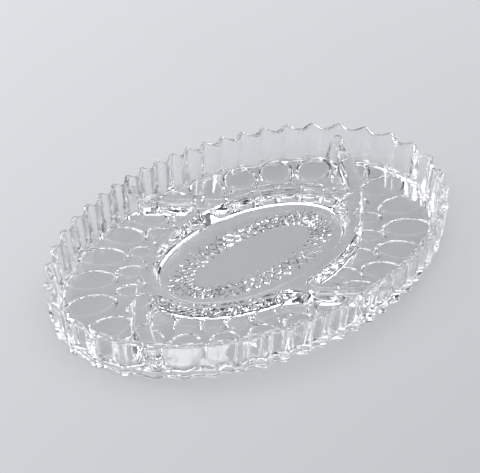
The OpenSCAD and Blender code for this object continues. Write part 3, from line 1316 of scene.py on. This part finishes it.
    def share_out(
        self, body: bpy.types.Object, lines: Sequence[np.ndarray], names: Sequence[str]
    ) -> dict[str, bpy.types.Object]:
        """Parts a body all round along seams that leave the middle.

        Args:
            body: The body, which is used up.
            lines: The points of the seams, anticlockwise.
            names: The names of the pieces, the first one between the first two seams.

        Returns:
            The pieces by name.
        """
        pieces = {}
        for k, name in enumerate(names):
            pieces[name] = duplicate(body, name)
            combine(pieces[name], self.wedge(lines[k], lines[(k + 1) % len(lines)]), Fuse.INTERSECT)
        discard(body)
        return pieces

    def partition_room(self, partition: Partition) -> bpy.types.Object:
        """Makes the block that holds a partition, wider above the floor's top than inside the floor.

        Args:
            partition: The partition.

        Returns:
            The block.
        """
        low, high = self.base.top - self.seams.depth, self.seams.high
        narrow = partition.footprint(self.shell, self.ring, *self.seams.narrow)
        wide = partition.footprint(self.shell, self.ring, *self.seams.wide)
        room = prism("room", narrow, low, high)
        combine(room, prism("wide_room", wide, self.base.top + self.seams.lift, high), Fuse.UNION)
        return room

    def ring_room(self) -> bpy.types.Object:
        """Makes the block round the middle that holds the centre ring.

        Returns:
            The block.
        """
        low, high = self.base.top - self.seams.depth, self.seams.high
        inside = self.ring.top_width + self.ring.inner_slope + self.seams.ring_inside
        room = self.ring.disc(-self.seams.ring_outside, low, high)
        combine(room, self.ring.disc(inside, low - OVERRUN, high + OVERRUN), Fuse.DIFFERENCE)
        return room

    def dress(self, obj: bpy.types.Object, name: str) -> None:
        """Names, smooths and places a sub-part on the frame.

        Args:
            obj: The sub-part.
            name: The name of the CAD node that it stands for.
        """
        obj.name = f"{name}_glass"
        obj.data.shade_smooth()
        sharp = self.facet_angle if name == "diamond_band" else self.smooth_angle
        obj.data.set_sharp_from_angle(angle=sharp)
        even = obj.modifiers.new("even", "WEIGHTED_NORMAL")
        even.keep_sharp = True
        even.weight = self.even_weight
        settle(obj)
        obj.data.name = obj.name
        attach(obj, "root")
        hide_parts(name)


# Finishes


class Nodes:
    """A thin layer over a node tree that keeps the shader code short."""

    def __init__(self, tree: bpy.types.NodeTree) -> None:
        """Takes the tree and empties it."""
        self.tree = tree
        tree.nodes.clear()

    def add(self, kind: str, **values: object) -> bpy.types.Node:
        """Adds a node.

        Args:
            kind: The node's type.
            **values: The properties to set.

        Returns:
            The node.
        """
        node = self.tree.nodes.new(kind)
        for name, value in values.items():
            setattr(node, name, value)
        return node

    def link(self, source: bpy.types.NodeSocket, target: bpy.types.NodeSocket) -> None:
        """Joins two sockets."""
        self.tree.links.new(source, target)


@dataclass(frozen=True)
class PressedSurface:
    """Slow, shallow ripples and faint smears on a smooth surface, as a node group.

    Attributes:
        scale: How close the ripples stand.
        ripple: How strong they are.
        smear: How much the smears roughen the surface.
        roughness: The roughness between the smears.
        ripple_detail: The detail of the ripples.
        ripple_height: How high they are at full strength.
        smear_scale: How close the smears stand.
        smear_detail: Their detail.
    """

    scale: float = 60.0
    ripple: float = 0.1
    smear: float = 0.02
    roughness: float = 0.02
    ripple_detail: float = 1.5
    ripple_height: float = 1.0 * MM
    smear_scale: float = 22.0
    smear_detail: float = 4.0

    def build(self) -> bpy.types.NodeTree:
        """Makes the group.

        Returns:
            The group, with Scale, Ripple, Smear and Base Roughness inputs and Normal and Roughness
            outputs.
        """
        group = bpy.data.node_groups.new("PressedSurface", "ShaderNodeTree")
        names = ("Scale", "Ripple", "Smear", "Base Roughness")
        for name, value in zip(names, (self.scale, self.ripple, self.smear, self.roughness)):
            socket = group.interface.new_socket(name, in_out="INPUT", socket_type="NodeSocketFloat")
            socket.default_value = value
        group.interface.new_socket("Normal", in_out="OUTPUT", socket_type="NodeSocketVector")
        group.interface.new_socket("Roughness", in_out="OUTPUT", socket_type="NodeSocketFloat")
        tree = Nodes(group)
        start = tree.add("NodeGroupInput")
        end = tree.add("NodeGroupOutput")
        place = tree.add("ShaderNodeTexCoord")
        ripple = tree.add("ShaderNodeTexNoise")
        ripple.inputs["Detail"].default_value = self.ripple_detail
        tree.link(place.outputs["Object"], ripple.inputs["Vector"])
        tree.link(start.outputs["Scale"], ripple.inputs["Scale"])
        bump = tree.add("ShaderNodeBump")
        bump.inputs["Distance"].default_value = self.ripple_height
        tree.link(start.outputs["Ripple"], bump.inputs["Strength"])
        tree.link(ripple.outputs["Fac"], bump.inputs["Height"])
        tree.link(bump.outputs["Normal"], end.inputs["Normal"])
        smear = tree.add("ShaderNodeTexNoise")
        smear.inputs["Scale"].default_value = self.smear_scale
        smear.inputs["Detail"].default_value = self.smear_detail
        tree.link(place.outputs["Object"], smear.inputs["Vector"])
        amount = tree.add("ShaderNodeMath", operation="MULTIPLY_ADD")
        tree.link(smear.outputs["Fac"], amount.inputs[0])
        tree.link(start.outputs["Smear"], amount.inputs[1])
        tree.link(start.outputs["Base Roughness"], amount.inputs[2])
        tree.link(amount.outputs[0], end.inputs["Roughness"])
        return group


@dataclass(frozen=True)
class PressedGlass:
    """Clear, fire-polished pressed glass.

    Light that only passes through it on its way to another surface goes straight on. It is dimmed
    little where the glass faces the light and much where the glass stands edge on to it.

    Attributes:
        tint: The glass's own colour.
        ior: How strongly it bends light.
        ripple: The strength of the ripples.
        smear: The strength of the smears.
        roughness: The roughness between the smears.
        passed_facing: How much light passes where the glass faces it.
        passed_edge_on: How much passes where the glass stands edge on.
        passed_blend: How early the glass counts as edge on.
    """

    tint: tuple[float, float, float] = (0.985, 0.993, 0.995)
    ior: float = 1.52
    ripple: float = 0.06
    smear: float = 0.02
    roughness: float = 0.005
    passed_facing: float = 1.0
    passed_edge_on: float = 0.4
    passed_blend: float = 0.08

    def build(self, group: bpy.types.NodeTree) -> bpy.types.Material:
        """Makes the material.

        Args:
            group: The node group of the pressed surface.

        Returns:
            The material.
        """
        material = bpy.data.materials.new("clear_glass")
        material.use_nodes = True
        tree = Nodes(material.node_tree)
        out = tree.add("ShaderNodeOutputMaterial")
        shader = tree.add("ShaderNodeBsdfPrincipled")
        shader.inputs["Base Color"].default_value = (*self.tint, 1)
        shader.inputs["Metallic"].default_value = 0.0
        shader.inputs["Transmission Weight"].default_value = 1.0
        shader.inputs["IOR"].default_value = self.ior
        surface = tree.add("ShaderNodeGroup", node_tree=group)
        surface.inputs["Ripple"].default_value = self.ripple
        surface.inputs["Smear"].default_value = self.smear
        surface.inputs["Base Roughness"].default_value = self.roughness
        tree.link(surface.outputs["Normal"], shader.inputs["Normal"])
        tree.link(surface.outputs["Roughness"], shader.inputs["Roughness"])
        facing = tree.add("ShaderNodeLayerWeight")
        facing.inputs["Blend"].default_value = self.passed_blend
        passed = tree.add("ShaderNodeMix", data_type="RGBA")
        passed.inputs["A"].default_value = (self.passed_facing,) * 3 + (1,)
        passed.inputs["B"].default_value = (self.passed_edge_on,) * 3 + (1,)
        tree.link(facing.outputs["Facing"], passed.inputs["Factor"])
        clear = tree.add("ShaderNodeBsdfTransparent")
        tree.link(passed.outputs["Result"], clear.inputs["Color"])
        path = tree.add("ShaderNodeLightPath")
        choice = tree.add("ShaderNodeMixShader")
        tree.link(path.outputs["Is Shadow Ray"], choice.inputs["Fac"])
        tree.link(shader.outputs["BSDF"], choice.inputs[1])
        tree.link(clear.outputs["BSDF"], choice.inputs[2])
        tree.link(choice.outputs["Shader"], out.inputs["Surface"])
        return material


@dataclass(frozen=True)
class FusedSeam:
    """The inside of the glass where two sub-parts are one: it bends and reflects nothing."""

    def build(self) -> bpy.types.Material:
        """Makes the material.

        Returns:
            The material.
        """
        material = bpy.data.materials.new("fused_seam")
        material.use_nodes = True
        tree = Nodes(material.node_tree)
        out = tree.add("ShaderNodeOutputMaterial")
        clear = tree.add("ShaderNodeBsdfTransparent")
        tree.link(clear.outputs["BSDF"], out.inputs["Surface"])
        return material


@dataclass(frozen=True)
class StudioPaper:
    """Matt pale paper with a faint grain.

    Attributes:
        colour: Its colour.
        dark_share: How light the darkest grain is beside that colour.
        roughness: Its roughness.
        grain_scale: How close the grain stands.
        grain_detail: The detail of the grain.
    """

    colour: tuple[float, float, float] = (0.63, 0.64, 0.655)
    dark_share: float = 0.985
    roughness: float = 0.75
    grain_scale: float = 14.0
    grain_detail: float = 6.0

    def build(self) -> bpy.types.Material:
        """Makes the material.

        Returns:
            The material.
        """
        material = bpy.data.materials.new("studio_paper")
        material.use_nodes = True
        tree = Nodes(material.node_tree)
        out = tree.add("ShaderNodeOutputMaterial")
        shader = tree.add("ShaderNodeBsdfPrincipled")
        shader.inputs["Roughness"].default_value = self.roughness
        place = tree.add("ShaderNodeTexCoord")
        grain = tree.add("ShaderNodeTexNoise")
        grain.inputs["Scale"].default_value = self.grain_scale
        grain.inputs["Detail"].default_value = self.grain_detail
        tree.link(place.outputs["Object"], grain.inputs["Vector"])
        shade = tree.add("ShaderNodeMix", data_type="RGBA")
        shade.inputs["A"].default_value = (*[c * self.dark_share for c in self.colour], 1)
        shade.inputs["B"].default_value = (*self.colour, 1)
        tree.link(grain.outputs["Fac"], shade.inputs["Factor"])
        tree.link(shade.outputs["Result"], shader.inputs["Base Color"])
        tree.link(shader.outputs["BSDF"], out.inputs["Surface"])
        return material


# Floor, camera and light


@dataclass(frozen=True)
class StudioFloor:
    """A plain, flat pale floor, a hair below the tray's foot."""

    size: float = 6.0
    drop: float = 0.05 * MM

    def build(self) -> bpy.types.Object:
        """Makes the floor with its material.

        Returns:
            The floor.
        """
        mesh = bpy.data.meshes.new("studio_floor")
        s = self.size / 2
        corners = [(x * s, y * s, -self.drop) for x, y in ((-1, -1), (1, -1), (1, 1), (-1, 1))]
        mesh.from_pydata(corners, [], [[0, 1, 2, 3]])
        obj = bpy.data.objects.new("studio_floor", mesh)
        bpy.context.scene.collection.objects.link(obj)
        mesh.materials.append(StudioPaper().build())
        return obj


@dataclass(frozen=True)
class PhotoCamera:
    """The camera of the photograph, as fitted to the tray's rim and foot."""

    target: tuple[float, float, float] = (0.0114, 0.0262, 0.0)
    distance: float = 1.2256
    azimuth: float = math.radians(-42.02)
    elevation: float = math.radians(35.85)
    roll: float = math.radians(0.75)
    lens: float = 130.0
    sensor: float = 36.0

    def build(self) -> bpy.types.Object:
        """Makes the camera and makes it the scene's.

        Returns:
            The camera.
        """
        az, el = self.azimuth, self.elevation
        back = Vector((math.sin(az) * math.cos(el), -math.cos(az) * math.cos(el), math.sin(el)))
        right = Vector((math.cos(az), math.sin(az), 0.0))
        up = back.cross(right)
        side = math.cos(self.roll) * right + math.sin(self.roll) * up
        top = -math.sin(self.roll) * right + math.cos(self.roll) * up
        place = Vector(self.target) + self.distance * back
        data = bpy.data.cameras.new("photo_camera")
        data.sensor_fit = "HORIZONTAL"
        data.sensor_width = self.sensor
        data.lens = self.lens
        obj = bpy.data.objects.new("photo_camera", data)
        turn = Matrix((side, top, back)).transposed().to_4x4()
        obj.matrix_world = Matrix.Translation(place) @ turn
        bpy.context.scene.collection.objects.link(obj)
        bpy.context.scene.camera = obj
        return obj


@dataclass(frozen=True)
class SoftLight:
    """A rectangular soft light that faces the tray."""

    name: str
    place: tuple[float, float, float]
    size: tuple[float, float]
    power: float

    def build(self) -> bpy.types.Object:
        """Makes the light.

        Returns:
            The light.
        """
        data = bpy.data.lights.new(self.name, "AREA")
        data.shape = "RECTANGLE"
        data.size, data.size_y = self.size
        data.energy = self.power
        obj = bpy.data.objects.new(self.name, data)
        obj.location = self.place
        obj.rotation_euler = Vector(self.place).to_track_quat("Z", "Y").to_euler()
        bpy.context.scene.collection.objects.link(obj)
        return obj


@dataclass(frozen=True)
class Studio:
    """The soft studio round the tray.

    Attributes:
        horizon: The light from the sides.
        zenith: The light from above.
        dark_to: The height of a direction up to which the room is dark, from 0 to 1.
        pale_from: The height from which it is pale.
        lights: The soft lights.
    """

    horizon: tuple[float, float, float] = (0.012, 0.014, 0.018)
    zenith: tuple[float, float, float] = (0.34, 0.36, 0.39)
    dark_to: float = 0.35
    pale_from: float = 0.95
    lights: tuple[SoftLight, ...] = field(
        default_factory=lambda: (
            SoftLight("key_light", (-0.9, 1.3, 1.3), (1.0, 0.6), 26.0),
            SoftLight("top_light", (0.75, 1.05, 1.9), (1.5, 0.9), 15.5),
            SoftLight("fill_light", (-1.6, -0.9, 1.1), (0.8, 0.6), 7.0),
            SoftLight("rim_light", (1.5, 0.6, 0.9), (0.4, 1.0), 8.0),
        )
    )

    def surroundings(self) -> bpy.types.World:
        """Makes the room round the tray, dark at the sides and pale above.

        Returns:
            The world.
        """
        world = bpy.data.worlds.new("studio")
        world.use_nodes = True
        tree = Nodes(world.node_tree)
        out = tree.add("ShaderNodeOutputWorld")
        shade = tree.add("ShaderNodeBackground")
        place = tree.add("ShaderNodeTexCoord")
        split = tree.add("ShaderNodeSeparateXYZ")
        rise = tree.add("ShaderNodeMapRange", interpolation_type="SMOOTHSTEP")
        rise.inputs["From Min"].default_value = self.dark_to
        rise.inputs["From Max"].default_value = self.pale_from
        colour = tree.add("ShaderNodeMix", data_type="RGBA")
        colour.inputs["A"].default_value = (*self.horizon, 1)
        colour.inputs["B"].default_value = (*self.zenith, 1)
        tree.link(place.outputs["Generated"], split.inputs["Vector"])
        tree.link(split.outputs["Z"], rise.inputs["Value"])
        tree.link(rise.outputs["Result"], colour.inputs["Factor"])
        tree.link(colour.outputs["Result"], shade.inputs["Color"])
        tree.link(shade.outputs["Background"], out.inputs["Surface"])
        return world

    def build(self) -> None:
        """Makes the floor, the lights and the surroundings."""
        StudioFloor().build()
        for light in self.lights:
            light.build()
        bpy.context.scene.world = self.surroundings()


@dataclass(frozen=True)
class LightPaths:
    """How often light may turn in the glass before it is given up.

    Attributes:
        most: The most turns of any kind.
        glossy: The most reflections, also those inside the glass.
        transmission: The most passes from air to glass or back.
        transparent: The most seams that it may cross.
    """

    most: int = 24
    glossy: int = 16
    transmission: int = 20
    transparent: int = 24

    def apply(self) -> None:
        """Sets the counts, and leaves out the patterns of light that glass throws on the floor."""
        cycles = bpy.context.scene.cycles
        cycles.max_bounces = self.most
        cycles.glossy_bounces = self.glossy
        cycles.transmission_bounces = self.transmission
        cycles.transparent_max_bounces = self.transparent
        cycles.caustics_refractive = False
        cycles.caustics_reflective = False


def main() -> None:
    """Builds the scene: camera, finishes, tray and studio."""
    logging.basicConfig(level=logging.INFO, format="%(name)s: %(message)s")
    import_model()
    PhotoCamera().build()
    FINISHES[Face.GLASS] = PressedGlass().build(PressedSurface().build())
    FINISHES[Face.SEAM] = FusedSeam().build()
    tray = RelishTray()
    for name, obj in tray.part(tray.press()).items():
        tray.dress(obj, name)
        LOG.info("%s: %d faces", name, len(obj.data.polygons))
    Studio().build()
    LightPaths().apply()
    bpy.context.scene.view_settings.view_transform = "Standard"


if __name__ == "__main__":
    main()
